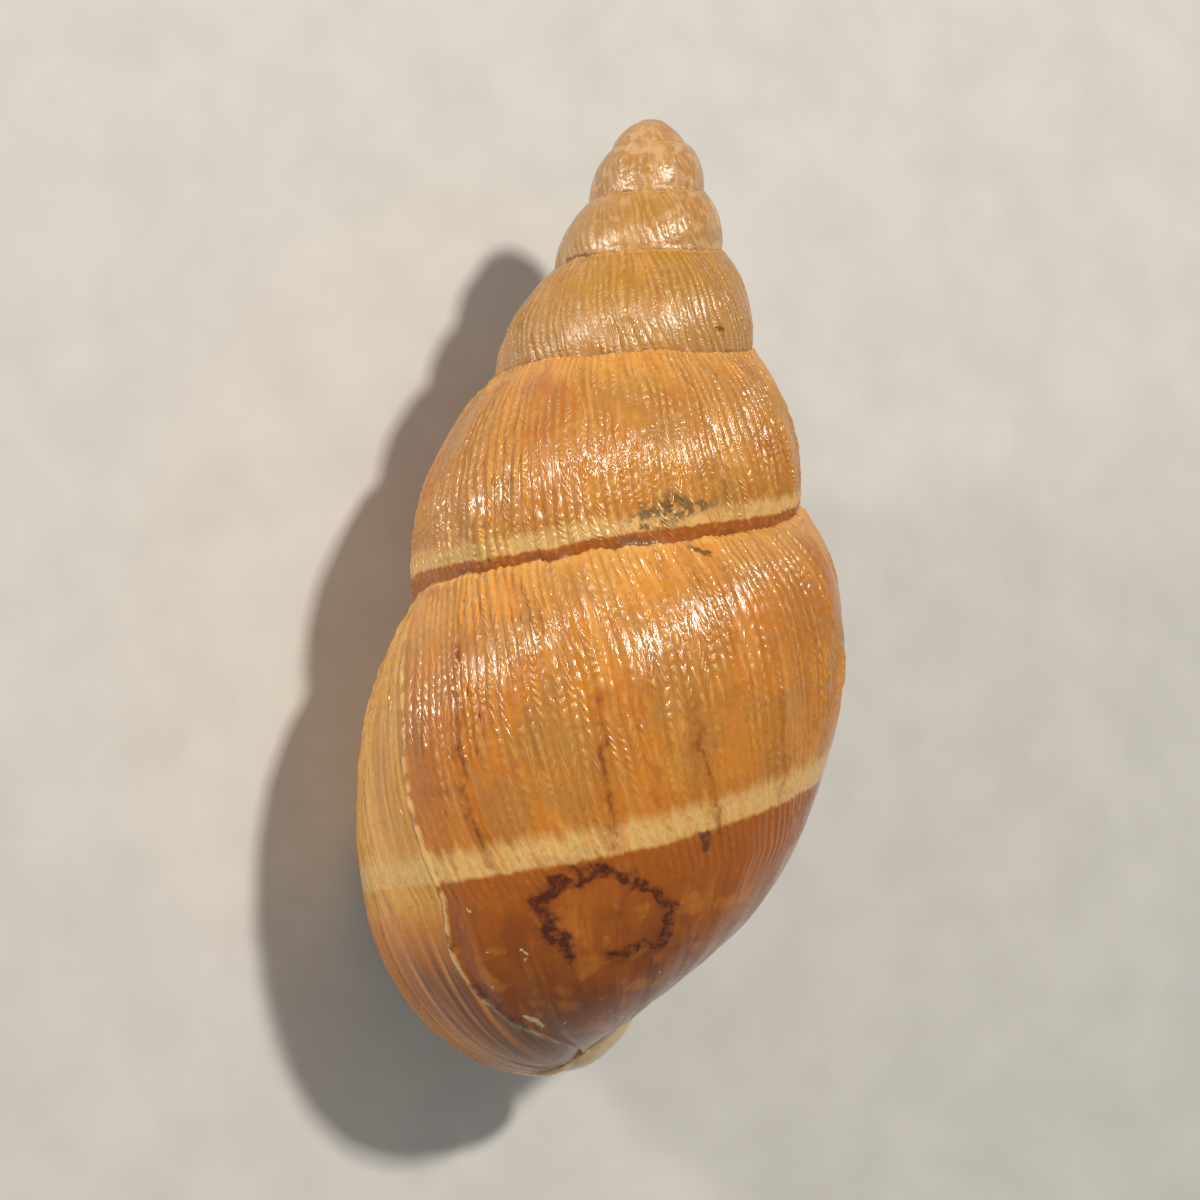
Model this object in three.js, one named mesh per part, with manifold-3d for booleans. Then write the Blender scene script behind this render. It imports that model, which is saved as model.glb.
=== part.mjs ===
// A dextral land-snail shell, 30 mm tall, lying on its aperture side with the apex towards +Y.
// Units are millimetres, +Z is up and the origin is on the table, under the middle of the shell.
//
// The shell is one helical band. In each half plane through the coiling axis a profile runs from the
// upper suture, over the whorl, to the next suture, and on the last whorl round the base to the axis.
// A turn counts whorls: 0 where the whorl passes the left silhouette, just before the lip, and less
// towards the apex. Depth is measured down the axis from the apex.
import * as THREE from "three";
import { ParametricGeometry } from "three/addons/geometries/ParametricGeometry.js";
import { mergeGeometries, mergeVertices } from "three/addons/utils/BufferGeometryUtils.js";
import Module from "manifold-3d";

const wasm = await Module();
wasm.setup();

// Turns where the shell starts and ends
const tipTurn = -5.5;
const lipTurn = 0.125;

// The suture at every half turn from the tip: its radius and depth. Past turn 0.5 it is the line just
// under the pale band, where a further whorl would have joined.
const sutureStep = 0.5;
const sutureStations = [
  [0.22, 0.02], [0.55, 0.09], [0.93, 0.58], [1.32, 1.05], [1.64, 2.03], [1.89, 2.76], [2.34, 3.83],
  [2.78, 4.92], [3.48, 6.81], [4.32, 8.45], [5.31, 11.61], [6.28, 15.58], [6.39, 20.93], [7.04, 25.36],
  [6.9, 28.5],
];

// Depth at which the base of the last whorl meets the axis, every quarter turn. On earlier whorls,
// inside the shell, it lies below the suture by a multiple of the suture's radius.
const baseStart = -1.5;
const baseStep = 0.25;
const baseDepths = [20.6, 23.4, 25.4, 27.4, 28.5, 29.1, 29.5, 29.6];
const innerBaseDrop = 1.69;

// How strongly the profile follows its end directions, leaving and arriving, above and below the skirt
const bandPull = [0.32, 0.33];
const basePull = [0.36, 0.42];

// Growth lines lean back from the suture, by these shares of a turn at the next suture and the base
const leanAtSkirt = 0.1;
const leanAtBase = 0.16;

// Walls of the last whorls. Whorls narrower than fullWallRadius have thinner ones in proportion.
const wallThickness = 0.4;
const lipThickness = 0.26;
const lipTaper = 0.12;
const callusThickness = 0.18;
const columellaRadius = 0.5;
const fullWallRadius = 6;

// The hollow runs this many turns in from the lip, narrows to its end over a few rows, and overruns
// the lip so that it cuts the aperture open
const cavityTurns = 4.1;
const cavityTaper = 0.2;
const cavityOverrun = 0.15;
const cavityTipShare = 0.04;

// The pillar on the axis and the cream columellar lip that it spreads into at the foot of the outer
// lip, as one rod: its middle at each station as [x, depth, z], its half width and half thickness, and
// the way its outer face looks
const columellaPath = [
  [0, 13, 0], [0, 19, 0], [0.05, 25, -0.1], [0.3, 27, -0.35], [0.35, 28.1, -0.35],
  [-0.2, 29, -0.1], [-1.2, 29.6, 0.3], [-2.4, 29.65, 0.55],
];
const columellaHalfWidths = [0.3, 0.6, 0.8, 0.9, 0.8, 0.65, 0.55, 0.4];
const columellaHalfThicknesses = [0.3, 0.6, 0.7, 0.55, 0.42, 0.34, 0.28, 0.15];
const columellaFacings = [
  [0, 0, -1], [0, 0, -1], [0.1, -0.1, -1], [0.35, -0.3, -0.9], [0.5, -0.6, -0.6],
  [0.3, -1, -0.1], [0, -1, 0], [0, -1, 0],
];

// The way the shell lies: rolled about its axis onto the lip, the apex a little raised, and worn flat
// by footWear where it touches the table
const restRoll = -26;
const restPitch = -4;
const footWear = 0.12;

// Mesh fineness. Edges shorter than mergeLength are closed up after the cuts.
const rowsPerTurn = 40;
const bandColumns = 8;
const baseColumns = 9;
const axisSteps = 6;
const cavitySides = 24;
const cavityRowsPerTurn = 20;
const columellaRings = 22;
const columellaSides = 12;
const mergeLength = 0.01;

const { clamp, degToRad, lerp, smoothstep } = THREE.MathUtils;
const ramp = (turn, from, to) => smoothstep((turn - from) / (to - from), 0, 1);

// A smooth value through evenly spaced stations
function along(stations, start, step, at) {
  const position = clamp((at - start) / step, 0, stations.length - 1.0001);
  const i = Math.floor(position);
  const t = position - i;
  const [a, b, c, d] = [i - 1, i, i + 1, i + 2].map((k) => stations[clamp(k, 0, stations.length - 1)]);
  return b + 0.5 * t * (c - a + t * (2 * a - 5 * b + 4 * c - d + t * (3 * b - a - 3 * c + d)));
}

const sutureRadii = sutureStations.map((station) => station[0]);
const sutureDepths = sutureStations.map((station) => station[1]);

// Radius and depth of the suture. Before the tip the band closes on the apex itself.
function suture(turn) {
  if (turn < tipTurn - 1e-6) return new THREE.Vector2(0, 0);
  const at = (stations) => along(stations, tipTurn, sutureStep, turn);
  return new THREE.Vector2(at(sutureRadii), at(sutureDepths));
}

// Directions of the profile at the suture, at the skirt and at the axis: 0 straight down the axis, 90
// straight outwards. The apex whorls are rounder, and the base turns in flat towards the lip.
const shoulderAngle = (turn) => degToRad(50 + 18 * ramp(turn, -4, -4.6) - 18 * ramp(turn, -0.5, 0));
const skirtAngle = (turn) => degToRad(-2 - 14 * ramp(turn, -1.6, -0.9) + 38 * ramp(turn, -4.75, -5.5));
const baseAngle = (turn) => degToRad(-50 - 68 * ramp(turn, -0.5, 0));

// A point on the cubic from a to b that leaves and arrives in the given directions
function arc(a, b, leave, arrive, pull, t) {
  const chord = a.distanceTo(b);
  const out = new THREE.Vector2(Math.sin(leave), Math.cos(leave)).multiplyScalar(pull[0] * chord);
  const back = new THREE.Vector2(-Math.sin(arrive), -Math.cos(arrive)).multiplyScalar(pull[1] * chord);
  return new THREE.CubicBezierCurve(a, out.add(a), back.add(b), b).getPoint(t);
}

// Radius and depth of the surface: across runs 0 to 1 from suture to suture, and 1 to 2 round the base
function profile(turn, across) {
  const skirt = suture(turn + 1);
  if (across <= 1) {
    return arc(suture(turn), skirt, shoulderAngle(turn), skirtAngle(turn), bandPull, across);
  }
  const baseDepth =
    turn < baseStart
      ? skirt.y + innerBaseDrop * skirt.x
      : along(baseDepths, baseStart, baseStep, turn);
  const end = new THREE.Vector2(0, baseDepth);
  return arc(skirt, end, skirtAngle(turn), baseAngle(turn), basePull, across - 1);
}

const lean = (across) =>
  across <= 1 ? leanAtSkirt * across : lerp(leanAtSkirt, leanAtBase, across - 1);

// A point at a radius and a depth in the half plane of a turn
function place(turn, radius, depth, target) {
  const angle = 2 * Math.PI * turn;
  return target.set(-radius * Math.cos(angle), -depth, -radius * Math.sin(angle));
}

// A point of the outer surface, on the growth line that starts from the suture at a turn
function surface(growth, across, target) {
  const turn = growth - lean(across);
  const point = profile(turn, across);
  return place(turn, point.x, point.y, target);
}

// The edge of the aperture at a growth line: down the lip, up the axis, and back to the suture along
// the parietal wall, which is the base of the whorl before
function apertureEdge(growth, stepsUpAxis) {
  const edge = [];
  const add = (side, turn, point) => edge.push({ side, turn, radius: point.x, depth: point.y });
  for (let k = 0; k < bandColumns + baseColumns; k++) {
    const across = k < bandColumns ? k / bandColumns : 1 + (k - bandColumns) / baseColumns;
    const turn = growth - lean(across);
    add("lip", turn, profile(turn, across));
  }
  const whorlBefore = growth - 1 + leanAtSkirt;
  for (let k = 0; k < stepsUpAxis; k++) {
    const share = k / stepsUpAxis;
    const turn = growth - leanAtBase + leanAtSkirt * share;
    add("axis", turn, profile(lerp(growth, whorlBefore, share) - leanAtBase, 2));
  }
  for (let k = 0; k < baseColumns; k++) {
    const across = 2 - k / baseColumns;
    const turn = whorlBefore - lean(across);
    add("parietal", turn + 1, profile(turn, across));
  }
  return edge;
}

// A place well inside the aperture at a growth line
function apertureMiddle(growth) {
  const turn = growth - 0.6 * leanAtBase;
  const top = suture(turn);
  const skirt = suture(turn + 1);
  return { turn, radius: 0.6 * skirt.x, depth: lerp(top.y, skirt.y, 0.92) };
}

// Joins sheets along their shared edges, drops the triangles that closed up and makes a solid of them
function solid(sheets) {
  for (const sheet of sheets) {
    sheet.deleteAttribute("normal");
    sheet.deleteAttribute("uv");
  }
  const joined = mergeVertices(mergeGeometries(sheets), 1e-5);
  const corners = [];
  for (let i = 0; i < joined.index.count; i += 3) {
    const [a, b, c] = [0, 1, 2].map((k) => joined.index.getX(i + k));
    if (a !== b && b !== c && c !== a) corners.push(a, b, c);
  }
  const vertProperties = joined.attributes.position.array;
  return new wasm.Manifold(
    new wasm.Mesh({ numProp: 3, vertProperties, triVerts: new Uint32Array(corners) }),
  );
}

// The shell as if filled: the band from tip to lip, the base of the last whorl, and a sheet across the
// aperture. Rows are growth lines, so the end of a row meets the start of a later one.
function filledShell() {
  const firstRow = Math.round((tipTurn - 1) * rowsPerTurn);
  const lastRow = Math.round(lipTurn * rowsPerTurn);
  const bandRows = lastRow - firstRow;
  const baseRows = Math.round((1 - leanAtSkirt) * rowsPerTurn);
  const baseRow = lastRow - baseRows;
  const band = new ParametricGeometry(
    (u, v, target) => surface((firstRow + Math.round(u * bandRows)) / rowsPerTurn, v, target),
    bandRows,
    bandColumns,
  );
  const base = new ParametricGeometry(
    (u, v, target) => surface((baseRow + Math.round(u * baseRows)) / rowsPerTurn, 1 + v, target),
    baseRows,
    baseColumns,
  );
  const edge = apertureEdge(lastRow / rowsPerTurn, baseRows);
  const middle = apertureMiddle(lastRow / rowsPerTurn);
  const sheet = new ParametricGeometry(
    (u, v, target) => {
      const at = v > 0.5 ? middle : edge[Math.round((1 - u) * edge.length) % edge.length];
      return place(at.turn, at.radius, at.depth, target);
    },
    edge.length,
    1,
  );
  return solid([band, base, sheet]);
}

// The place where a ray from the middle of the aperture first comes within a wall of its edge. The ray
// moves on by the room it has left until there is none.
function wallAt(edge, middle, angle, wall) {
  const reach = new THREE.Vector3(Math.sin(angle), Math.cos(angle), 0);
  const point = new THREE.Vector3(middle.radius, middle.depth, 0);
  const side = new THREE.Line3();
  const nearest = new THREE.Vector3();
  let turn = middle.turn;
  let room = Infinity;
  for (let step = 0; step < 60 && room > 1e-4; step++) {
    room = Infinity;
    edge.forEach((from, i) => {
      const to = edge[(i + 1) % edge.length];
      side.start.set(from.radius, from.depth, 0);
      side.end.set(to.radius, to.depth, 0);
      const share = side.closestPointToPointParameter(point, true);
      const gap = side.at(share, nearest).distanceTo(point) - wall[from.side];
      if (gap >= room) return;
      room = gap;
      turn = lerp(from.turn, to.turn, share);
    });
    point.addScaledVector(reach, room);
  }
  return { turn, radius: point.x, depth: point.y };
}

// The places round the hollow at a growth line, the first in the corner at the suture
function cavitySection(growth) {
  const edge = apertureEdge(growth, axisSteps);
  const middle = apertureMiddle(growth);
  const size = clamp(suture(growth + 1).x / fullWallRadius, 0, 1);
  const lipWall = lerp(lipThickness, wallThickness, ramp(growth, lipTurn, lipTurn - lipTaper));
  const wall = { lip: size * lipWall, axis: size * columellaRadius, parietal: size * callusThickness };
  const corner = Math.atan2(edge[0].radius - middle.radius, edge[0].depth - middle.depth);
  const fromTip = (growth - lipTurn + cavityTurns) / cavityTaper;
  const open = Math.sqrt(clamp(fromTip + cavityTipShare, 0, 1));
  const points = Array.from({ length: cavitySides }, (_, k) => {
    const at = wallAt(edge, middle, corner + (2 * Math.PI * k) / cavitySides, wall);
    return {
      turn: lerp(middle.turn, at.turn, open),
      radius: lerp(middle.radius, at.radius, open),
      depth: lerp(middle.depth, at.depth, open),
    };
  });
  return { middle, points };
}

// The hollow: a closed tube that follows the whorls in from the aperture
function cavity() {
  const deepest = lipTurn - cavityTurns;
  const rings = Math.round((cavityTurns + cavityOverrun) * cavityRowsPerTurn);
  const sections = Array.from({ length: rings + 1 }, (_, j) =>
    cavitySection(deepest + j / cavityRowsPerTurn),
  );
  const tube = new ParametricGeometry(
    (u, v, target) => {
      const j = Math.round(v * (rings + 2)) - 1;
      const { middle, points } = sections[clamp(j, 0, rings)];
      const at = j < 0 || j > rings ? middle : points[Math.round(u * cavitySides) % cavitySides];
      return place(at.turn, at.radius, at.depth, target);
    },
    cavitySides,
    rings + 2,
  );
  return solid([tube]);
}

// The pillar and columellar lip, a closed rod of oval sections
function columella() {
  const last = columellaPath.length - 1;
  const valueAt = (values, t) => along(values, 0, 1, t * last);
  const vectorAt = (rows, t) =>
    new THREE.Vector3(...[0, 1, 2].map((k) => valueAt(rows.map((row) => row[k]), t)));
  const middleAt = (t) => vectorAt(columellaPath, t).multiply(new THREE.Vector3(1, -1, 1));
  const rod = new ParametricGeometry(
    (u, v, target) => {
      const ring = Math.round(v * (columellaRings + 2)) - 1;
      const t = clamp(ring / columellaRings, 0, 1);
      target.copy(middleAt(t));
      if (ring < 0 || ring > columellaRings) return target;
      const ahead = middleAt(Math.min(t + 0.01, 1)).sub(middleAt(Math.max(t - 0.01, 0))).normalize();
      const facing = vectorAt(columellaFacings, t);
      facing.addScaledVector(ahead, -facing.dot(ahead)).normalize();
      const sideways = ahead.cross(facing);
      const angle = (-2 * Math.PI * (Math.round(u * columellaSides) % columellaSides)) / columellaSides;
      target.addScaledVector(sideways, valueAt(columellaHalfWidths, t) * Math.cos(angle));
      return target.addScaledVector(facing, valueAt(columellaHalfThicknesses, t) * Math.sin(angle));
    },
    columellaSides,
    columellaRings + 2,
  );
  return solid([rod]);
}

// Lays the shell on the table, with its foot worn flat and the origin under its middle
function layDown(body) {
  const turned = body.rotate([0, restRoll, 0]).rotate([-restPitch, 0, 0]);
  const worn = turned.trimByPlane([0, 0, 1], turned.boundingBox().min[2] + footWear);
  const { min, max } = worn.boundingBox();
  return worn.translate([-(min[0] + max[0]) / 2, -(min[1] + max[1]) / 2, -min[2]]);
}

const hollowed = filledShell().subtract(cavity()).add(columella()).asOriginal().simplify(mergeLength);
const laid = layDown(hollowed);

const mesh = laid.getMesh();
const geometry = new THREE.BufferGeometry();
geometry.setAttribute("position", new THREE.BufferAttribute(mesh.vertProperties, 3));
geometry.setIndex(new THREE.BufferAttribute(mesh.triVerts, 1));
geometry.computeVertexNormals();

const shell = new THREE.Mesh(
  geometry,
  new THREE.MeshStandardMaterial({ color: 0xa9682f, roughness: 0.38, metalness: 0 }),
);
shell.name = "shell";

const model = new THREE.Group();
model.name = "land_snail_shell";
model.add(shell);

export default model;
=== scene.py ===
import math
import bmesh
import bpy
import numpy as np
from mathutils import Matrix, Vector, noise


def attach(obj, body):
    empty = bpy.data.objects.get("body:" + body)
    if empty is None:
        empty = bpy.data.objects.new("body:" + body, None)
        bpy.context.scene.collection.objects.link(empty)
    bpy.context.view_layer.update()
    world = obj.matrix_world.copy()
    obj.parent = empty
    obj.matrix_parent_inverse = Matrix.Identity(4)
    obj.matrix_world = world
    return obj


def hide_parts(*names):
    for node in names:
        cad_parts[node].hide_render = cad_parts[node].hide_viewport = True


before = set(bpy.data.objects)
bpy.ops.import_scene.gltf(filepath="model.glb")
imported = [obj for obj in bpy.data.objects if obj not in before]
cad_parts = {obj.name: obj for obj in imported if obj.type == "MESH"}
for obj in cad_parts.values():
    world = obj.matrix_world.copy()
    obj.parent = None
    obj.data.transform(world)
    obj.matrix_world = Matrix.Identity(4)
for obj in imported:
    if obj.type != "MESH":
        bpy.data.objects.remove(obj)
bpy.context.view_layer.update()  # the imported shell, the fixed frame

# A snail shell, 30 mm tall, lying on its aperture with the apex towards +Y. The wall is drawn flat first:
# x is growth in turns (0 at the left silhouette, less towards the apex) and y runs across the whorl,
# 0 to 1 from suture to suture and 1 to 2 round the base. Then it is rolled up round the coiling axis.
# Lengths are millimetres until the last step.

# How the shell coils.
coil = {
    "tipTurn": -5.5,
    "tipSpread": 0.28,  # turns over which the apex opens from a point
    "lipTurn": 0.125,
    "sutures": [  # radius and depth below the apex, every half turn
        (0.22, 0.02), (0.55, 0.09), (0.93, 0.58), (1.32, 1.05), (1.64, 2.03), (1.89, 2.76), (2.34, 3.83),
        (2.78, 4.92), (3.48, 6.81), (4.32, 8.45), (5.31, 11.61), (6.28, 15.58), (6.39, 20.93),
        (7.04, 25.36), (6.9, 28.5),
    ],
    "baseStart": -1.5,
    "baseDepths": [20.6, 23.4, 25.4, 27.4, 28.5, 29.1, 29.5, 29.6],  # on the axis, every quarter turn
    "innerBaseDrop": 1.69,
    "bandPull": (0.32, 0.33),
    "basePull": (0.36, 0.42),
    "lean": (0.05, 0.1),  # how far growth lines lean back across a whorl, in turns: early, and at the lip
    "leanFrom": -0.75,
    "baseLean": 0.06,
}


def mix(a, b, share):
    return a + (b - a) * share


def ramp(value, start, end):
    share = min(max((value - start) / (end - start), 0.0), 1.0)
    return share * share * (3 - 2 * share)


def along(stations, start, step, at):
    position = min(max((at - start) / step, 0.0), len(stations) - 1.0001)
    i = int(position)
    t = position - i
    last = len(stations) - 1
    a, b, c, d = (stations[min(max(k, 0), last)] for k in (i - 1, i, i + 1, i + 2))
    return b + 0.5 * t * (c - a + t * (2 * a - 5 * b + 4 * c - d + t * (3 * b - a - 3 * c + d)))


sutureRadii = [radius for radius, depth in coil["sutures"]]
sutureDepths = [depth for radius, depth in coil["sutures"]]


def suture(turn):
    opened = ramp(turn, coil["tipTurn"] - coil["tipSpread"], coil["tipTurn"])
    radius = along(sutureRadii, coil["tipTurn"], 0.5, turn) * opened
    return radius, along(sutureDepths, coil["tipTurn"], 0.5, turn) * opened


def arc(a, b, leave, arrive, pull, t):  # a cubic in radius and depth that leaves and arrives as told
    chord = math.hypot(b[0] - a[0], b[1] - a[1])
    first = (a[0] + pull[0] * chord * math.sin(leave), a[1] + pull[0] * chord * math.cos(leave))
    second = (b[0] - pull[1] * chord * math.sin(arrive), b[1] - pull[1] * chord * math.cos(arrive))
    u = 1 - t
    weights = (u * u * u, 3 * u * u * t, 3 * u * t * t, t * t * t)
    return tuple(sum(w * p[k] for w, p in zip(weights, (a, first, second, b))) for k in (0, 1))


def profile(turn, across):  # radius and depth of the outer surface
    skirt = suture(turn + 1)
    skirtAngle = math.radians(-2 - 14 * ramp(turn, -1.6, -0.9) + 38 * ramp(turn, -4.75, -5.5))
    if across <= 1:
        shoulder = math.radians(50 + 18 * ramp(turn, -4, -4.6) - 18 * ramp(turn, -0.5, 0))
        return arc(suture(turn), skirt, shoulder, skirtAngle, coil["bandPull"], across)
    if turn < coil["baseStart"]:
        foot = skirt[1] + coil["innerBaseDrop"] * skirt[0]
    else:
        foot = along(coil["baseDepths"], coil["baseStart"], 0.25, turn)
    baseAngle = math.radians(-50 - 68 * ramp(turn, -0.5, 0))
    return arc(skirt, (0, foot), skirtAngle, baseAngle, coil["basePull"], across - 1)


def lean(growth, across):  # turns that a growth line has leaned back since the suture
    whole = mix(*coil["lean"], ramp(growth, coil["leanFrom"], coil["lipTurn"]))
    if across <= 1:
        return whole * (across + 0.045 * math.sin(2 * math.pi * across))
    return whole + coil["baseLean"] * (across - 1) ** 1.6


def whorlBefore(growth):  # the growth line that ends where this one starts
    return growth - 1 + coil["lean"][0]


def place(turn, radius, depth):
    angle = 2 * math.pi * turn
    return Vector((-radius * math.cos(angle), -depth, -radius * math.sin(angle)))


def grain(x, y, z=0.0):  # smooth noise, about -0.5 to 0.5, the same on every run
    return noise.noise(Vector((x, y, z)))


# Relief of the outer surface.
relief = {
    "riblets": (150, 13),  # per turn on the last whorl, and half of how many fewer a turn earlier
    "ribletHeight": 0.12,
    "apexShare": 0.12,  # share of the riblets' height that is left on the apex
    "baseShare": 0.1,  # and on the base
    "ribletWander": 0.8,  # how far riblets stray from even spacing, in riblets
    "beadHeight": 0.65,  # share of a riblet's height that breaks up into beads
    "beadsAcross": 24,
    "waveHeight": 0.09,
    "sutureWander": 0.12,
    "sutureScallop": 0.07,
    "sutureBead": 0.1,
    "lipStop": 0.16,  # height of the old lip, where growth stopped for a season
    "restHeight": 0.045,
    "restWidth": 0.004,
    "rests": [  # growth at which it paused
        0.092, 0.066, 0.036, 0.004, -0.105, -0.19, -0.246, -0.4, -0.52, -0.71, -0.93, -1.12, -1.3, -1.62,
        -1.9, -2.31, -2.8,
    ],
    "chips": 0.0022,  # how far the lip's edge is chipped back, in turns
}
# growth of the old lip's edge, at every fifth of the way across, and where the middle of the pale band lies
stopLine = [-0.045, -0.047, -0.052, -0.05, -0.047, -0.042, -0.036, -0.05, -0.082, -0.105, -0.12]
bandLine = [0.9, 0.9, 0.885, 0.91, 0.86, 0.85, 0.84, 0.835, 0.81, 0.86, 0.895, 0.895]
bandHalfWidth = 0.042
nextWhorl = whorlBefore(coil["lipTurn"])  # rows before this one have a whorl below them


def fromStop(growth, across):  # turns grown since the old lip was the edge
    return growth - along(stopLine, 0, 0.2, across)


def fromBand(growth, across):  # half widths below the middle of the pale band
    return (across - along(bandLine, -1.55, 0.15, growth)) / bandHalfWidth


def ribletPhase(growth, across):  # counts riblets, whole numbers on their crests
    wander = relief["ribletWander"] * grain(growth * 26, across * 2.6, 1.5)
    wander += 0.35 * relief["ribletWander"] * grain(growth * 70, across * 7, 4.5)
    perTurn, fewer = relief["riblets"]
    count = perTurn * growth + (fewer * growth * growth if growth < 0 else 0)
    return count + wander


def beadPhase(growth, across):
    return relief["beadsAcross"] * across + 2.2 * grain(growth * 170, across * 8, 2.5)


def sutureShift(turn):  # the suture runs in small uneven scallops, one or two riblets wide
    size = min(suture(turn)[0] / 6, 1)
    coarse = 0.8 * grain(turn * 9, 3.1) + 0.9 * grain(turn * 34, 7.7) + 0.8 * grain(turn * 90, 1.3)
    scallop = -0.5 * math.cos(2 * math.pi * ribletPhase(turn, 0)) * (0.7 + grain(turn * 50, 5.9))
    size *= 1 - ramp(turn, coil["lipTurn"] - 0.05, coil["lipTurn"])  # none at the lip, where the seam ends
    return size * (relief["sutureWander"] * coarse + relief["sutureScallop"] * scallop)


def riblets(growth, across):  # 0 in a furrow to 1 on a crest
    crest = 0.5 + 0.5 * math.cos(2 * math.pi * ribletPhase(growth, across))
    uneven = 0.6 + 1.3 * grain(growth * 40, across * 4, 8.5) + 0.5 * grain(growth * 9, across * 2, 3.5)
    crest *= min(max(uneven, 0.1), 1)
    bead = 0.5 + 0.5 * math.sin(2 * math.pi * beadPhase(growth, across))
    return crest * mix(1, bead, relief["beadHeight"])


def surfaceRelief(growth, across):  # height in millimetres
    size = min(suture(growth + 1)[0] / 6.2, 1)
    # riblets are lower near the apex, high up on earlier whorls, low down on the last one, and on its base
    early = mix(0.35, 1, ramp(across, 0.2, 0.65))
    upright = ramp(growth, -4.9, -1.6) * mix(early, 1, ramp(growth, -1.1, -0.9))
    worn = 0.5 * ramp(across, 0.45, 0.85) * ramp(growth, -1, -0.7)
    height = relief["ribletHeight"] * mix(relief["apexShare"], 1, upright) * (1 - worn)
    height *= mix(1, relief["baseShare"], ramp(across, 0.93, 1.12))
    height *= riblets(growth, across)
    waves = 0.6 * grain(growth * 13, across * 1.1, 5) + 0.5 * grain(growth * 38, across * 1.6, 6)
    height += relief["waveHeight"] * waves
    for rest in relief["rests"]:
        away = (growth - rest + 0.01 * grain(across * 3, rest * 7)) / relief["restWidth"]
        if abs(away) < 3:
            height -= relief["restHeight"] * math.exp(-away * away) * (0.5 + grain(across * 5, rest * 3))
    height *= size
    since = fromStop(growth, across)
    if abs(since) < 0.09:
        ragged = since + 0.0035 * grain(across * 24, 2.2)
        edge = math.exp(-((ragged + 0.003) / 0.0035) ** 2) * (0.75 + 0.6 * grain(across * 18, 6.2))
        drop = 0.55 * ramp(ragged, -0.001, 0.003) * (1 - ramp(ragged, 0.003, 0.08))
        height += relief["lipStop"] * (0.5 * edge - drop)
    bead = math.exp(-((across - 0.028) / 0.02) ** 2) * (0.6 + 1.2 * grain(growth * 75, 9.1))
    return height + relief["sutureBead"] * size * bead


def surfacePoint(growth, across):
    edge = coil["lipTurn"]
    chip = relief["chips"] * (grain(across * 9, 4.4) + 0.8 * grain(across * 31, 5.4) - 0.4)
    growth += chip * ramp(growth, edge - 0.02, edge)
    turn = growth - lean(growth, across)
    radius, depth = profile(turn, across)
    step = 0.002 if across < 0.999 else -0.002
    other = profile(turn, across + step)
    down = ((other[0] - radius) / step, (other[1] - depth) / step)
    length = math.hypot(*down) or 1
    height = surfaceRelief(growth, across)
    hold = ramp(across, 0, 0.02)  # both sides of a suture stay together
    if across <= 1:
        hold *= mix(1 - ramp(across, 0.965, 1), 1, ramp(growth, nextWhorl, nextWhorl + 0.04))
    hold *= 1 - ramp(across, 1.9, 2)
    height *= hold
    depth += sutureShift(turn) * (1 - ramp(across, 0, 0.16))
    if across > 0.8:
        depth += sutureShift(turn + 1) * (1 - ramp(abs(across - 1), 0, 0.12))
    radius += height * down[1] / length
    depth -= height * down[0] / length
    return place(turn, max(radius, 0.0), depth)


# Mesh helpers.
def flatSheet(bm, rows, columns, growths, acrosses):
    size = Matrix.Diagonal((growths[1] - growths[0], acrosses[1] - acrosses[0], 1, 1))
    middle = Matrix.Translation((sum(growths) / 2, sum(acrosses) / 2, 0))
    bmesh.ops.create_grid(bm, x_segments=rows, y_segments=columns, size=0.5, matrix=middle @ size)


def newObject(name, bm, materials):
    mesh = bpy.data.meshes.new(name)
    bm.to_mesh(mesh)
    bm.free()
    for material in materials:
        mesh.materials.append(material)
    obj = bpy.data.objects.new(name, mesh)
    bpy.context.scene.collection.objects.link(obj)
    return obj


def storeMaps(bm, maps):  # maps: name -> function of growth and across
    for name, values in maps.items():
        layer = bm.loops.layers.uv.new(name)
        known = {}
        for face in bm.faces:
            for loop in face.loops:
                at = (loop.vert.co.x, loop.vert.co.y)
                if at not in known:
                    known[at] = values(*at)
                loop[layer].uv = known[at]


# The shell, filled.
fineness = {
    "whorlRows": 428,  # rows from the lip back to the one whose lower end meets the lip
    "rows": 3110,
    "columns": 10,
    "doubledFrom": [-3.0, -1.7],  # growth after which the columns are halved again
    "baseColumns": 36,
    "weld": 2e-4,
    "tipRadius": 0.03,  # points nearer to the tip than this become one
    "shortestEdge": 1e-5,
}
insidePlace, callusPlace = 1, 2  # places in the shell's list of materials, after the outer surface


def growthOfRows():  # rows are numbered back from the lip, so that the end of one meets the start of another
    lip, whorlRows = coil["lipTurn"], fineness["whorlRows"]
    growths = {}
    for row in range(0, -fineness["rows"] - 1, -1):
        if row >= -whorlRows:
            growths[row] = lip + (lip - nextWhorl) * row / whorlRows
            continue
        growths[row] = whorlBefore(growths[row + whorlRows])
        for again in range(8):
            growths[row] = growths[row + whorlRows] - 1 + lean(growths[row], 1)
    return growths


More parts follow.
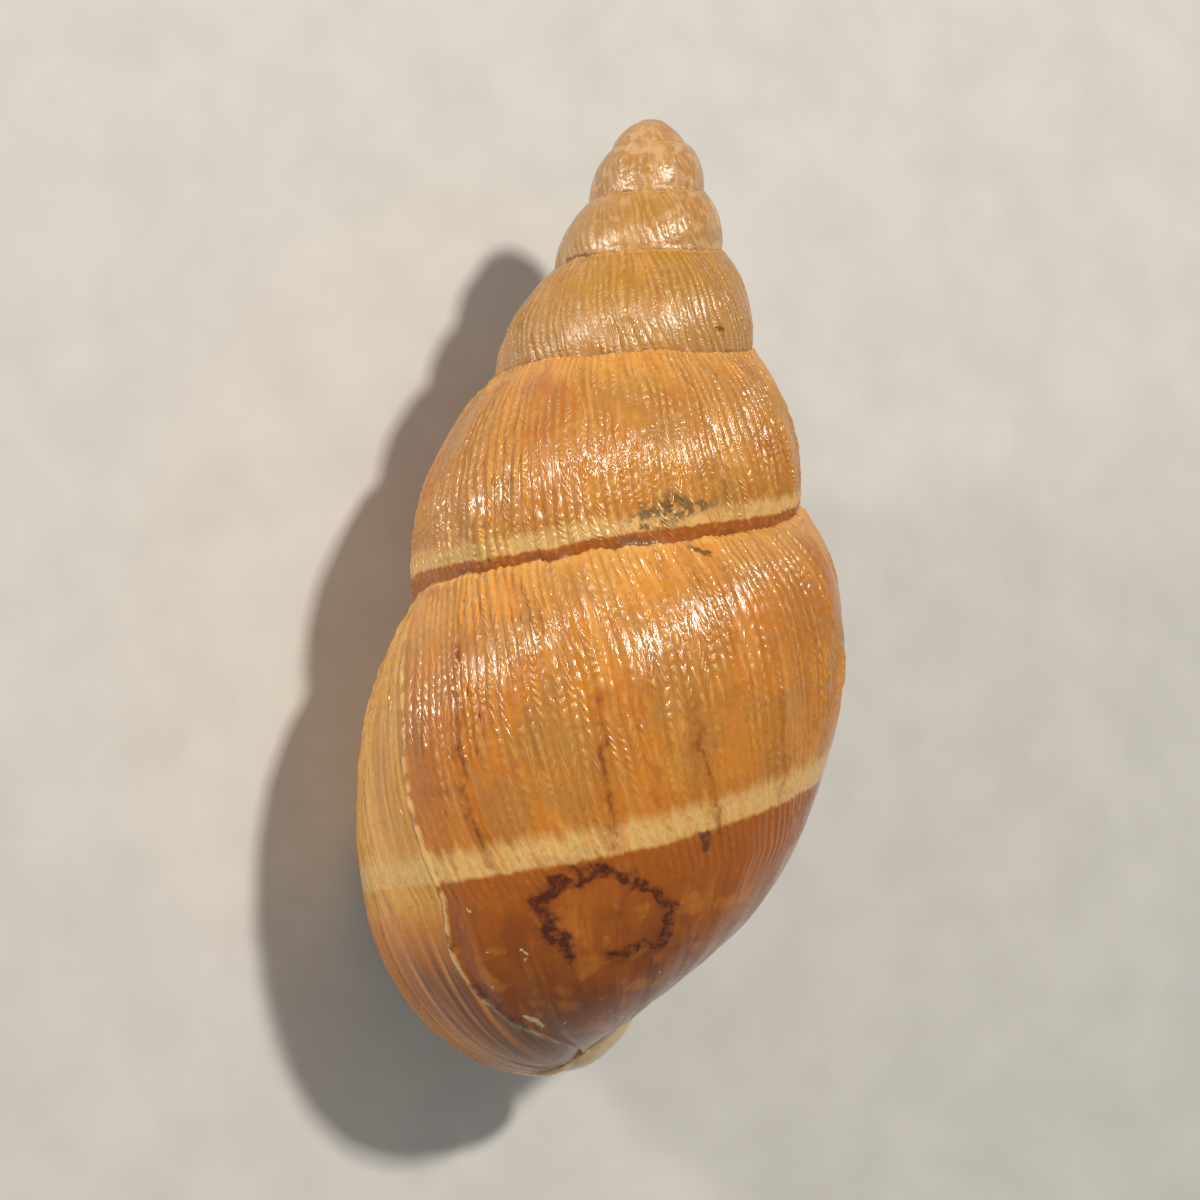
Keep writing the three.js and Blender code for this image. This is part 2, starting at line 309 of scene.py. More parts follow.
def filledShell():
    bm = bmesh.new()
    lip = coil["lipTurn"]
    rows, whorlRows = fineness["rows"], fineness["whorlRows"]
    flatSheet(bm, rows, fineness["columns"], (-rows, 0), (0, 1))
    flatSheet(bm, whorlRows, fineness["baseColumns"], (-whorlRows, 0), (1, 2))
    growths = growthOfRows()
    for vert in bm.verts:
        vert.co.x = growths[round(vert.co.x)]
    for start in fineness["doubledFrom"]:
        edges = [e for e in bm.edges if e.verts[0].co.x == e.verts[1].co.x and start < e.verts[0].co.x
                 and min(v.co.y for v in e.verts) < 1]
        bmesh.ops.subdivide_edges(bm, edges=edges, cuts=1, use_grid_fill=True)
    storeMaps(bm, {
        "growthMap": lambda growth, across: (growth, across),
        "markMap": lambda growth, across: (fromBand(growth, across), fromStop(growth, across)),
        "ribletMap": lambda growth, across: (ribletPhase(growth, across), beadPhase(growth, across)),
    })
    for vert in bm.verts:
        vert.co = surfacePoint(vert.co.x, vert.co.y)
    bmesh.ops.remove_doubles(bm, verts=bm.verts, dist=fineness["weld"])
    tip = [v for v in bm.verts if v.co.length < fineness["tipRadius"]]
    bmesh.ops.pointmerge(bm, verts=tip, merge_co=(0, 0, 0))
    bmesh.ops.dissolve_degenerate(bm, dist=fineness["shortestEdge"], edges=bm.edges)
    rim = [e for e in bm.edges if e.is_boundary]
    print("filled shell: verts", len(bm.verts), "rim edges", len(rim))
    spread = bmesh.ops.extrude_edge_only(bm, edges=rim)["geom"]
    inner = [v for v in spread if isinstance(v, bmesh.types.BMVert)]
    for face in (f for f in spread if isinstance(f, bmesh.types.BMFace)):
        face.material_index = callusPlace
    bmesh.ops.pointmerge(bm, verts=inner, merge_co=place(*apertureMiddle(lip)))
    bmesh.ops.recalc_face_normals(bm, faces=bm.faces)
    print("open edges of the filled shell:", sum(not e.is_manifold for e in bm.edges))
    return bm


# The hollow inside it.
hollow = {
    "turns": 4.1,
    "overrun": 0.15,  # turns that the cutting tube goes on past the lip
    "taper": 0.2,  # turns over which its tip opens
    "tipShare": 0.04,
    "ringsPerTurn": 40,
    "sides": 36,
    "wall": 0.4,
    "lipWall": 0.26,
    "lipTaper": 0.12,  # turns over which the wall thins to the lip
    "callus": 0.18,  # thickness of wall left over the whorl before
    "pillar": 0.5,
    "fullWallRadius": 6,  # whorls narrower than this have thinner walls
}


def apertureMiddle(growth):
    turn = growth - 0.6 * lean(growth, 2)
    top, skirt = suture(turn), suture(turn + 1)
    return turn, 0.6 * skirt[0], mix(top[1], skirt[1], 0.92)


def apertureEdge(growth, bandSteps=12, baseSteps=12, axisSteps=6):  # turn, radius, depth, wall kind, across
    edge = []
    for k in range(bandSteps + baseSteps):
        across = k / bandSteps if k < bandSteps else 1 + (k - bandSteps) / baseSteps
        turn = growth - lean(growth, across)
        edge.append((turn, *profile(turn, across), 0, across))
    before = whorlBefore(growth)
    last, first = growth - lean(growth, 2), before - lean(before, 2)
    for k in range(axisSteps):
        share = k / axisSteps
        edge.append((mix(last, first + 1, share), *profile(mix(last, first, share), 2), 1, 2 + 0.5 * share))
    for k in range(baseSteps):
        across = 2 - k / baseSteps
        turn = before - lean(before, across)
        edge.append((turn + 1, *profile(turn, across), 2, 4.5 - across))
    return edge


def hollowRing(growth):
    edge = np.array(apertureEdge(growth))
    turn, radius, depth = apertureMiddle(growth)
    size = min(suture(growth + 1)[0] / hollow["fullWallRadius"], 1)
    lip = coil["lipTurn"]
    lipWall = mix(hollow["lipWall"], hollow["wall"], ramp(growth, lip, lip - hollow["lipTaper"]))
    walls = size * np.array([lipWall, hollow["pillar"], hollow["callus"]])[edge[:, 3].astype(int)]
    corner = math.atan2(edge[0, 1] - radius, edge[0, 2] - depth)
    angles = corner + 2 * math.pi * np.arange(hollow["sides"]) / hollow["sides"]
    reach = np.stack([np.sin(angles), np.cos(angles)], 1)
    points = np.repeat([[radius, depth]], hollow["sides"], 0)
    start, end = edge[:, 1:3], np.roll(edge, -1, 0)[:, 1:3]
    side = end - start
    for again in range(60):  # each ray moves on by the room it has left
        offset = points[:, None] - start
        share = np.clip((offset * side).sum(2) / (side * side).sum(1), 0, 1)
        gaps = np.linalg.norm(offset - share[..., None] * side, axis=2) - walls
        nearest = gaps.argmin(1)
        points = points + reach * gaps.min(1)[:, None]
    nearShare = share[np.arange(len(points)), nearest]
    following = np.roll(edge, -1, 0)
    following[-1, 4] = 3.5
    turns = mix(edge[nearest, 0], following[nearest, 0], nearShare)
    acrosses = mix(edge[nearest, 4], following[nearest, 4], nearShare)
    opened = (growth - lip + hollow["turns"]) / hollow["taper"] + hollow["tipShare"]
    opened = math.sqrt(min(max(opened, 0), 1))
    ring = [
        (place(mix(turn, t, opened), mix(radius, p[0], opened), mix(depth, p[1], opened)), across)
        for t, p, across in zip(turns, points, acrosses)
    ]
    return ring


def hollowTube():
    bm = bmesh.new()
    sides, ringsPerTurn = hollow["sides"], hollow["ringsPerTurn"]
    rings = round((hollow["turns"] + hollow["overrun"]) * ringsPerTurn)
    first = coil["lipTurn"] - hollow["turns"]
    flatSheet(bm, rings, sides, (0, rings), (0, sides))
    made = [hollowRing(first + j / ringsPerTurn) for j in range(rings + 1)]

    def ringAt(x, y):
        j, k = round(x), round(y)
        return first + j / ringsPerTurn, (3.5 if k == sides else made[j][k % sides][1])

    storeMaps(bm, {
        "growthMap": ringAt,
        "markMap": lambda x, y: (fromBand(*ringAt(x, y)), fromStop(*ringAt(x, y))),
        "ribletMap": lambda x, y: (0, 0),
    })
    for vert in bm.verts:
        vert.co = made[round(vert.co.x)][round(vert.co.y) % sides][0]
    bmesh.ops.remove_doubles(bm, verts=bm.verts, dist=fineness["shortestEdge"])
    ends = [e for e in bm.edges if e.is_boundary]
    bmesh.ops.holes_fill(bm, edges=ends, sides=0)
    bmesh.ops.recalc_face_normals(bm, faces=bm.faces)
    for face in bm.faces:
        face.material_index = insidePlace
    return bm


# The pillar and the columellar lip.
pillar = {
    "path": [(0, 13, 0), (0, 19, 0), (0.05, 25, -0.1), (0.3, 27, -0.35), (0.35, 28.1, -0.35),
             (-0.2, 29, -0.1), (-1.2, 29.6, 0.3), (-2.4, 29.65, 0.55)],  # x, depth, z
    "halfWidths": [0.3, 0.6, 0.8, 0.95, 0.95, 0.75, 0.6, 0.25],
    "halfThicknesses": [0.3, 0.6, 0.7, 0.55, 0.42, 0.34, 0.28, 0.12],
    "facings": [(0, 0, -1), (0, 0, -1), (0.1, -0.1, -1), (0.35, -0.3, -0.9), (0.5, -0.6, -0.6),
                (0.3, -1, -0.1), (0, -1, 0), (0, -1, 0)],
    "rings": 60,
    "sides": 24,
}
lipRoll = {  # where the columellar lip shows from above, at the foot of the base
    "path": [(1.95, 26.95, 0.5), (1.45, 27.5, 0.5), (0.98, 28.14, 0.45), (0.45, 28.76, 0.2),
             (-0.2, 29.3, 0.05), (-1.2, 29.58, 0.3)],
    "halfWidths": [0.12, 0.4, 0.8, 1.0, 0.95, 0.45],
    "halfThicknesses": [0.08, 0.16, 0.25, 0.3, 0.3, 0.18],
    "facings": [(0.7, -0.7, 0.3), (0.7, -0.7, 0.3), (0.7, -0.7, 0.3), (0.6, -0.8, 0.3), (0.4, -0.9, 0.3),
                (0.1, -1, 0.3)],
    "rings": 40,
    "sides": 16,
}


def bentRod(shape):  # one ring is drawn along the path, and turned to its facings
    bm = bmesh.new()
    last = len(shape["path"]) - 1

    def vectorAt(rows, t):
        return Vector([along([row[k] for row in rows], 0, 1, t * last) for k in range(3)])

    def middleAt(t):
        x, depth, z = vectorAt(shape["path"], t)
        return Vector((x, -depth, z))

    ring = bmesh.ops.create_circle(bm, segments=shape["sides"], radius=1, cap_ends=False)["verts"]
    bmesh.ops.contextual_create(bm, geom=ring)
    flat = [vert.co.copy() for vert in ring]
    for j in range(shape["rings"] + 1):
        t = j / shape["rings"]
        if j:
            edges = list({e for v in ring for e in v.link_edges if e.other_vert(v) in ring})
            grown = bmesh.ops.extrude_edge_only(bm, edges=edges)["geom"]
            new = [g for g in grown if isinstance(g, bmesh.types.BMVert)]
            ring = [next(n for n in new if any(e.other_vert(n) == v for e in n.link_edges)) for v in ring]
        ahead = (middleAt(min(t + 0.01, 1)) - middleAt(max(t - 0.01, 0))).normalized()
        facing = vectorAt(shape["facings"], t)
        facing = (facing - facing.dot(ahead) * ahead).normalized()
        sideways = ahead.cross(facing)
        width = along(shape["halfWidths"], 0, 1, t * last)
        thickness = along(shape["halfThicknesses"], 0, 1, t * last)
        for vert, at in zip(ring, flat):
            vert.co = middleAt(t) + sideways * (width * at.x) + facing * (thickness * at.y)
    bmesh.ops.contextual_create(bm, geom=ring)
    bmesh.ops.recalc_face_normals(bm, faces=bm.faces)
    for face in bm.faces:
        face.material_index = callusPlace
    return bm


# Short names for shader nodes.
def tint(red, green, blue):  # a colour as a picture program gives it, 0 to 255
    def linear(value):
        value /= 255
        return value / 12.92 if value <= 0.04045 else ((value + 0.055) / 1.055) ** 2.4

    return linear(red), linear(green), linear(blue), 1


def add(tree, kind, inputs=None, **settings):  # a node; an input is a value or the socket it comes from
    node = tree.nodes.new(kind)
    for name, value in settings.items():
        setattr(node, name, value)
    for key, value in (inputs or {}).items():
        if isinstance(value, bpy.types.NodeSocket):
            tree.links.new(value, node.inputs[key])
        else:
            node.inputs[key].default_value = value
    return node


def calc(tree, operation, a, b=0.0, c=0.0):
    return add(tree, "ShaderNodeMath", {0: a, 1: b, 2: c}, operation=operation).outputs[0]


def calcVector(tree, operation, inputs, output=0):
    return add(tree, "ShaderNodeVectorMath", inputs, operation=operation).outputs[output]


def split(tree, vector):
    return add(tree, "ShaderNodeSeparateXYZ", {0: vector}).outputs


def remap(tree, value, start, end, low=0.0, high=1.0):  # eases from low to high between start and end
    inputs = {"Value": value, "From Min": start, "From Max": end, "To Min": low, "To Max": high}
    return add(tree, "ShaderNodeMapRange", inputs, interpolation_type="SMOOTHSTEP").outputs[0]


def over(tree, under, colour, mask):  # paints a colour over another where the mask says
    return add(tree, "ShaderNodeMix", {0: mask, 6: under, 7: colour}, data_type="RGBA").outputs[2]


def colourRamp(tree, value, stops):
    node = add(tree, "ShaderNodeValToRGB", {"Fac": value})
    for number, (at, colour) in enumerate(stops):
        stop = node.color_ramp.elements[number] if number < 2 else node.color_ramp.elements.new(at)
        stop.position, stop.color = at, colour
    return node.outputs[0]


def noisePattern(tree, at, detail, roughness, scale=1.0):
    inputs = {"Vector": at, "Scale": scale, "Detail": detail, "Roughness": roughness}
    return add(tree, "ShaderNodeTexNoise", inputs).outputs


def effect(tree, name, inputs):  # places one of the shared node groups
    return add(tree, "ShaderNodeGroup", inputs, node_tree=bpy.data.node_groups[name]).outputs[0]


def newEffect(name, inputs):
    tree = bpy.data.node_groups.new(name, "ShaderNodeTree")
    for label, kind, value in inputs:
        socket = tree.interface.new_socket(label, in_out="INPUT", socket_type="NodeSocket" + kind)
        socket.default_value = value
    tree.interface.new_socket("Mask", in_out="OUTPUT", socket_type="NodeSocketFloat")
    return tree, tree.nodes.new("NodeGroupInput").outputs


def closeEffect(tree, value):
    add(tree, "NodeGroupOutput", {0: value})


def newMaterial(name):
    material = bpy.data.materials.new(name)
    material.use_nodes = True
    material.node_tree.nodes.clear()
    return material, material.node_tree


def closeMaterial(tree, inputs):
    shader = add(tree, "ShaderNodeBsdfPrincipled", inputs)
    add(tree, "ShaderNodeOutputMaterial", {"Surface": shader.outputs[0]})


# Effects that the materials share.
def buildEffects():
    # streaks along the growth lines
    tree, given = newEffect("growthStreaks", [
        ("Map", "Vector", (0, 0, 0)), ("Per Turn", "Float", 40), ("Along", "Float", 2), ("Seed", "Float", 0),
        ("From", "Float", 0.4), ("To", "Float", 0.6),
    ])
    stretch = add(tree, "ShaderNodeCombineXYZ", {0: given["Per Turn"], 1: given["Along"], 2: 1.0}).outputs[0]
    shift = add(tree, "ShaderNodeCombineXYZ", {2: given["Seed"]}).outputs[0]
    at = calcVector(tree, "MULTIPLY_ADD", {0: given["Map"], 1: stretch, 2: shift})
    pattern = noisePattern(tree, at, detail=3.0, roughness=0.6)[0]
    closeEffect(tree, remap(tree, pattern, given["From"], given["To"]))

    # scattered grains of a size in millimetres
    tree, given = newEffect("grains", [
        ("Size", "Float", 0.2), ("Seed", "Float", 0), ("From", "Float", 0.45), ("To", "Float", 0.6),
    ])
    at = add(tree, "ShaderNodeTexCoord").outputs["Object"]
    at = calcVector(tree, "SCALE", {0: at, 3: calc(tree, "DIVIDE", 1000.0, given["Size"])})
    shift = add(tree, "ShaderNodeCombineXYZ", {0: given["Seed"]}).outputs[0]
    at = calcVector(tree, "ADD", {0: at, 1: shift})
    pattern = noisePattern(tree, at, detail=2.0, roughness=0.55)[0]
    closeEffect(tree, remap(tree, pattern, given["From"], given["To"]))

    # the pale band, feathered above and sharp below, with its place in half widths from the middle
    tree, given = newEffect("paleBand", [("Map", "Vector", (0, 0, 0)), ("Mark", "Vector", (0, 0, 0))])
    inputs = {"Map": given["Map"], "Per Turn": 160.0, "Along": 5.0, "From": 0.2, "To": 0.8}
    fray = calc(tree, "MULTIPLY", effect(tree, "growthStreaks", inputs), 1.1)
    down = split(tree, given["Mark"])[0]
    upper = remap(tree, calc(tree, "ADD", down, fray), -1.1, 0.3)
    lower = remap(tree, calc(tree, "ADD", down, calc(tree, "MULTIPLY", fray, 0.3)), 1.35, 0.95)
    shown = remap(tree, split(tree, given["Map"])[0], -1.7, -1.35)
    closeEffect(tree, calc(tree, "MULTIPLY", calc(tree, "MULTIPLY", upper, lower), shown))


# The outer surface.
skinColours = {
    "apex": tint(186, 143, 92),
    "upper": tint(184, 136, 68),
    "ochre": tint(180, 128, 46),
    "orangeTan": tint(204, 138, 52),
    "lastWhorl": tint(212, 132, 38),
    "newGrowth": tint(236, 176, 78),
    "shoulder": tint(226, 160, 74),
    "deepOrange": tint(186, 106, 34),
    "ochreStreak": tint(170, 110, 38),
    "greenTan": tint(172, 124, 60),
    # pink for painted sheen on the lower halves of the spire whorls
    "pinkSheen": tint(196, 146, 90),
    "cream": tint(232, 188, 116),
    "redBrown": tint(170, 90, 17),
    "darkBase": tint(128, 60, 10),
    "newBase": tint(222, 140, 46),
    "crest": tint(228, 172, 88),
    "furrow": tint(146, 86, 30),
    "paleWear": tint(214, 168, 118),
    # dark brown for dirt spots, and for painted shade in the seams and in the old lip's crack
    "dirtAndShade": tint(110, 68, 28),
    "greyDirt": tint(108, 86, 52),
    "stain": tint(74, 28, 10),
    "purple": tint(86, 50, 38),
    # white for chips and specks, and for painted highlights on riblet crests
    "chalkAndGlint": tint(226, 206, 168),
}
whorlStops = [  # the first two are the ends; growth runs from 0 at six turns before the last to 1
    (0.0, "apex"), (1.0, "lastWhorl"), (0.33, "apex"), (0.5, "upper"), (0.62, "ochre"), (0.78, "orangeTan"),
]
skinFinish = {
    "mapScale": (39, 9.4, 0),  # millimetres to a turn and to a whorl's height, on the last whorl
    "ragged": (1.0, 1.8, 0.0),  # millimetres that drawn marks wander
    "roughness": (0.15, 0.19),  # on the apex and on the last whorls
    "roughnessSpread": 0.12,
    "seamRoughness": 0.3,
    "bumpDepth": 0.00004,
    "apexBump": 0.24,  # share of the bump left on the apex
    "specular": 0.5,
    "coat": 0.4,
    "coatRoughness": 0.11,
}
marks = {  # points are growth and across, widths are millimetres
    "growthLines": [  # growth, width, across from and to, strength
        (-0.128, 0.3, 0.98, 1.6, 0.6), (-0.1, 0.25, 1.0, 1.75, 0.6), (-0.33, 0.2, 0.1, 1.0, 0.5),
        (-0.155, 0.16, 0.2, 0.9, 0.4), (-0.225, 0.16, 0.3, 1.0, 0.45), (-0.44, 0.3, 0.05, 1.2, 0.5),
        (0.015, 0.2, 0.1, 1.7, 0.5), (0.045, 0.14, 0.2, 1.8, 0.5), (-0.07, 0.14, 0.1, 1.2, 0.4),
        (-0.6, 0.3, 0.0, 1.5, 0.5), (-0.78, 0.3, 0.1, 0.9, 0.5), (-1.12, 0.25, 0.1, 0.8, 0.4),
        (-1.29, 0.25, 0.0, 0.5, 0.5), (-1.5, 0.25, 0.1, 0.9, 0.4), (-2.1, 0.35, 0.1, 0.9, 0.4),
    ],
    "darkLines": [
        ([(-0.202, 0.48), (-0.196, 0.7), (-0.187, 0.86)], 0.2),
        ([(-0.107, 0.27), (-0.1, 0.6), (-0.097, 0.9)], 0.14),
        ([(-0.26, 0.5), (-0.265, 0.93)], 0.14),
    ],
    "patches": [  # colour, points, width, strength
        ("deepOrange", [(-0.37, 0.13), (-0.45, 0.22), (-0.34, 0.4)], 1.8, 0.3),
        ("redBrown", [(-1.14, 0.2), (-1.17, 0.3), (-1.15, 0.42)], 1.1, 0.35),
    ],
    "ring": [
        ([(-0.138, 1.23), (-0.125, 1.13), (-0.12, 1.03), (-0.135, 0.96), (-0.172, 0.945)], 0.36),
        ([(-0.172, 0.945), (-0.2, 1.03), (-0.224, 1.13), (-0.218, 1.24), (-0.175, 1.27)], 0.27),
    ],
    "purpleSpots": [
        ([(-0.047, 1.3), (-0.056, 1.4), (-0.064, 1.47)], 0.38),
        ([(-0.252, 0.88), (-0.25, 0.93)], 0.25),
    ],
    "greyPatch": ([(-1.212, 0.99), (-1.225, 0.85), (-1.27, 0.83)], 0.9),
    "darkSpots": [
        ([(-2.325, 0.81)], 0.35),
        ([(-3.03, 0.985), (-3.08, 0.985)], 0.45),
        ([(-0.3, 0.03), (-0.31, 0.07)], 0.25),
    ],
    "specks": [  # white, most of them round the old lip
        (-0.067, 1.19), (-0.065, 1.03), (-0.112, 1.54), (-0.052, 1.65), (-0.22, 1.41), (-0.1, 1.22),
        (-0.062, 1.3),
    ],
    "speckWidth": 0.09,
    "chalkTrace": ([(-0.078, 1.46), (-0.085, 1.52)], 0.22),
}


def shellSkin():
    c = skinColours
    material, tree = newMaterial("shellSkin")
    map2d = add(tree, "ShaderNodeUVMap", uv_map="growthMap").outputs[0]
    mark = add(tree, "ShaderNodeUVMap", uv_map="markMap").outputs[0]
    ribs = add(tree, "ShaderNodeUVMap", uv_map="ribletMap").outputs[0]
    growth, across = split(tree, map2d)[:2]
    down, since = split(tree, mark)[:2]
    ribletCount, beadCount = split(tree, ribs)[:2]

    # the flat map in millimetres of the last whorl, and the same with a wander that makes drawn marks ragged
    scale = Vector(skinFinish["mapScale"])
    flat = calcVector(tree, "MULTIPLY", {0: map2d, 1: scale})
    noisy = noisePattern(tree, flat, detail=4.0, roughness=0.55, scale=1.6)[1]
    noisy = calcVector(tree, "SUBTRACT", {0: noisy, 1: (0.5, 0.5, 0.5)})
    warped = calcVector(tree, "MULTIPLY_ADD", {0: noisy, 1: skinFinish["ragged"], 2: flat})
    warpedGrowth = split(tree, warped)[0]

    def streaks(perTurn, along, seed, start, end):
        inputs = {"Map": map2d, "Per Turn": perTurn, "Along": along, "Seed": seed, "From": start, "To": end}
        return effect(tree, "growthStreaks", inputs)

    def grains(size, seed, start, end):
        return effect(tree, "grains", {"Size": size, "Seed": seed, "From": start, "To": end})

    def times(*masks):
        result = masks[0]
        for mask in masks[1:]:
            result = calc(tree, "MULTIPLY", result, mask)
        return result

    def plus(a, b):
        return calc(tree, "ADD", a, b)

    def paint(colour, name, *masks):
        return over(tree, colour, c[name], times(*masks))

    def between(value, start, end, low=0.0, high=1.0):
        return remap(tree, value, start, end, low, high)

    def stroke(points, width, edge=0.4):  # a ragged line through points of the map; one point makes a spot
        nearest = None
        for start, end in zip(points, points[1:] or points):
            start = Vector((*start, 0)) * scale
            side = Vector((*end, 0)) * scale - start
            offset = calcVector(tree, "SUBTRACT", {0: warped, 1: start})
            if side.length:
                share = calcVector(tree, "DOT_PRODUCT", {0: offset, 1: side / side.length_squared}, output=1)
                share = add(tree, "ShaderNodeClamp", {0: share}).outputs[0]
                foot = calcVector(tree, "SCALE", {0: side, 3: share})
                away = calcVector(tree, "DISTANCE", {0: offset, 1: foot}, output=1)
            else:
                away = calcVector(tree, "LENGTH", {0: offset}, output=1)
            nearest = away if nearest is None else calc(tree, "MINIMUM", nearest, away)
        return between(nearest, width, width * edge)

    def growthLine(at, width, start, end):  # a wandering edge of older growth
        away = calc(tree, "ABSOLUTE", calc(tree, "SUBTRACT", warpedGrowth, at * scale.x))
        ends = times(between(across, start, start + 0.2), between(across, end, end - 0.2))
        return times(between(away, width, 0.0), ends, gaps)

    def wave(count):
        turned = calc(tree, "COSINE", calc(tree, "MULTIPLY", count, 2 * math.pi))
        return calc(tree, "MULTIPLY_ADD", turned, 0.5, 0.5)

    strength = streaks(46.0, 4.0, 34.0, 0.3, 0.6)
    crest = times(wave(ribletCount), strength, between(wave(beadCount), 0.0, 1.0, 0.35, 1.0))
    gaps = streaks(14.0, 7.0, 17.0, 0.42, 0.6)
    late = between(growth, -1.9, -1.5)  # the last two whorls
    newer = between(since, -0.001, 0.003)  # grown after the old lip
    onBase = between(across, 0.97, 1.1)

    share = calc(tree, "DIVIDE", plus(growth, 6.0), 6.0)
    colour = colourRamp(tree, share, [(at, c[name]) for at, name in whorlStops])
    # broad and fine streaks of older and newer growth
    colour = paint(colour, "deepOrange", streaks(9.0, 1.3, 1.0, 0.48, 0.7), 0.5, late)
    colour = paint(colour, "ochreStreak", streaks(30.0, 1.5, 2.0, 0.46, 0.66), 0.6)
    colour = paint(colour, "shoulder", streaks(70.0, 2.0, 3.0, 0.5, 0.66), 0.5)
    colour = paint(colour, "greenTan", grains(2.6, 21.0, 0.48, 0.64), 0.6)
    colour = paint(colour, "deepOrange", grains(1.7, 25.0, 0.5, 0.66), 0.4, late)
    # lighter shoulder under the suture
    uneven = times(streaks(60.0, 3.0, 4.0, 0.3, 0.7), 0.2)
    colour = paint(colour, "shoulder", between(plus(across, uneven), 0.36, 0.08), 0.7, late)
    # darker behind the old lip
    colour = paint(colour, "redBrown", between(since, -0.13, -0.02), between(across, 0.1, 0.5), 0.45)
    # under the band
    uneven = times(streaks(150.0, 4.0, 5.0, 0.3, 0.7), 0.3)
    under = between(plus(down, uneven), 0.9, 1.4)
    colour = paint(colour, "redBrown", under, late)
    uneven = times(streaks(25.0, 2.0, 6.0, 0.3, 0.7), 0.3)
    colour = paint(colour, "darkBase", between(plus(across, uneven), 1.15, 1.8), 0.85)
    colour = paint(colour, "newBase", onBase, streaks(60.0, 2.2, 22.0, 0.5, 0.7), 0.35)
    colour = paint(colour, "darkBase", onBase, streaks(80.0, 2.5, 23.0, 0.52, 0.7), 0.55)
    colour = paint(colour, "darkBase", onBase, grains(1.3, 41.0, 0.5, 0.64), 0.45)
    colour = paint(colour, "newBase", onBase, grains(0.8, 42.0, 0.54, 0.68), 0.35)
    # newer growth is paler and yellower, and brown streaked at its foot
    fresh = paint(c["newGrowth"], "ochreStreak", streaks(80.0, 1.0, 7.0, 0.45, 0.65), 0.8)
    fresh = paint(fresh, "newBase", onBase)
    foot = times(between(across, 1.0, 1.35), between(since, 0.13, 0.04))
    fresh = paint(fresh, "darkBase", foot, streaks(90.0, 0.7, 8.0, 0.36, 0.54), 0.85)
    fresh = paint(fresh, "stain", foot, streaks(120.0, 0.8, 24.0, 0.44, 0.58), 0.85)
    fresh = paint(fresh, "darkBase", between(across, 1.5, 1.8), between(since, 0.19, 0.12), 0.75)
    colour = over(tree, colour, fresh, times(newer, 0.9))
    # cream band
    band = effect(tree, "paleBand", {"Map": map2d, "Mark": mark})
    colour = paint(colour, "cream", band, 0.92)
    colour = paint(colour, "shoulder", band, streaks(130.0, 5.0, 26.0, 0.5, 0.64), 0.55)
    # riblets, grains and wear; on the spire's lower halves, painted sheen and painted highlights
    worn = times(between(across, 0.4, 0.8), between(growth, -1.0, -0.7), 0.65)
    ribbed = times(calc(tree, "SUBTRACT", 1.0, onBase), between(under, 0.0, 1.0, 1.0, 0.5))
    ribbed = times(ribbed, calc(tree, "SUBTRACT", 1.0, worn))
    colour = paint(colour, "crest", between(crest, 0.3, 0.8), 0.5, ribbed)
    colour = paint(colour, "furrow", between(wave(ribletCount), 0.3, 0.0), 0.35, strength, ribbed)
    colour = paint(colour, "paleWear", grains(0.22, 3.0, 0.5, 0.75), 0.3, ribbed)
    colour = paint(colour, "furrow", grains(0.16, 9.0, 0.5, 0.75), 0.3)
    # the lower halves of the spire whorls, where the lamps' highlights fall: pink streaks of painted sheen,
    # and riblet crests painted pale as highlights
    litLowerHalf = times(between(across, 0.35, 0.8), between(growth, -1.7, -2.1))
    colour = paint(colour, "pinkSheen", litLowerHalf, streaks(50.0, 2.0, 18.0, 0.35, 0.6), 0.5)
    colour = paint(colour, "chalkAndGlint", litLowerHalf, between(crest, 0.35, 0.8), 0.5)
    spire = between(growth, -2.6, -3.6)
    colour = paint(colour, "greenTan", spire, grains(1.3, 31.0, 0.45, 0.6), 0.55)
    colour = paint(colour, "ochreStreak", spire, grains(0.7, 32.0, 0.54, 0.66), 0.5)
    colour = paint(colour, "paleWear", spire, grains(0.5, 5.0, 0.52, 0.64), 0.7)
    # old lip: a pale broken edge, and a painted shadow in the crack behind it
    edge = times(between(since, -0.007, -0.003), between(since, 0.0012, -0.0005))
    colour = paint(colour, "cream", edge, grains(0.5, 2.0, 0.38, 0.55), 0.9)
    crackShadow = times(between(since, -0.0012, 0.0), between(since, 0.004, 0.0015))
    colour = paint(colour, "dirtAndShade", crackShadow, grains(0.7, 4.0, 0.4, 0.55), 0.8)
    # dark edges and lines of older growth
    for at, width, start, end, weight in marks["growthLines"]:
        colour = paint(colour, "furrow", growthLine(at, width, start, end), weight)
    for points, width in marks["darkLines"]:
        colour = paint(colour, "redBrown", stroke(points, width * 2.4, 0.0), 0.5)
        broken = times(grains(0.5, 8.0, 0.36, 0.6), streaks(260.0, 9.0, 33.0, 0.3, 0.6))
        colour = paint(colour, "stain", stroke(points, width, 0.0), broken, 0.6)
    for name, points, width, weight in marks["patches"]:
        colour = paint(colour, name, stroke(points, width, 0.0), weight)
    # stains and dirt
    for points, width in marks["ring"]:
        colour = paint(colour, "darkBase", stroke(points, width * 1.9, 0.0), 0.5)
        colour = paint(colour, "stain", stroke(points, width, 0.2), grains(0.25, 8.0, 0.32, 0.56), 0.9)
    for points, width in marks["purpleSpots"]:
        colour = paint(colour, "purple", stroke(points, width, 0.3), grains(0.3, 13.0, 0.25, 0.5), 0.8)
    colour = paint(colour, "greyDirt", stroke(*marks["greyPatch"], 0.1), grains(0.3, 6.0, 0.42, 0.58), 0.85)
    for points, width in marks["darkSpots"]:
        colour = paint(colour, "dirtAndShade", stroke(points, width), 0.9)
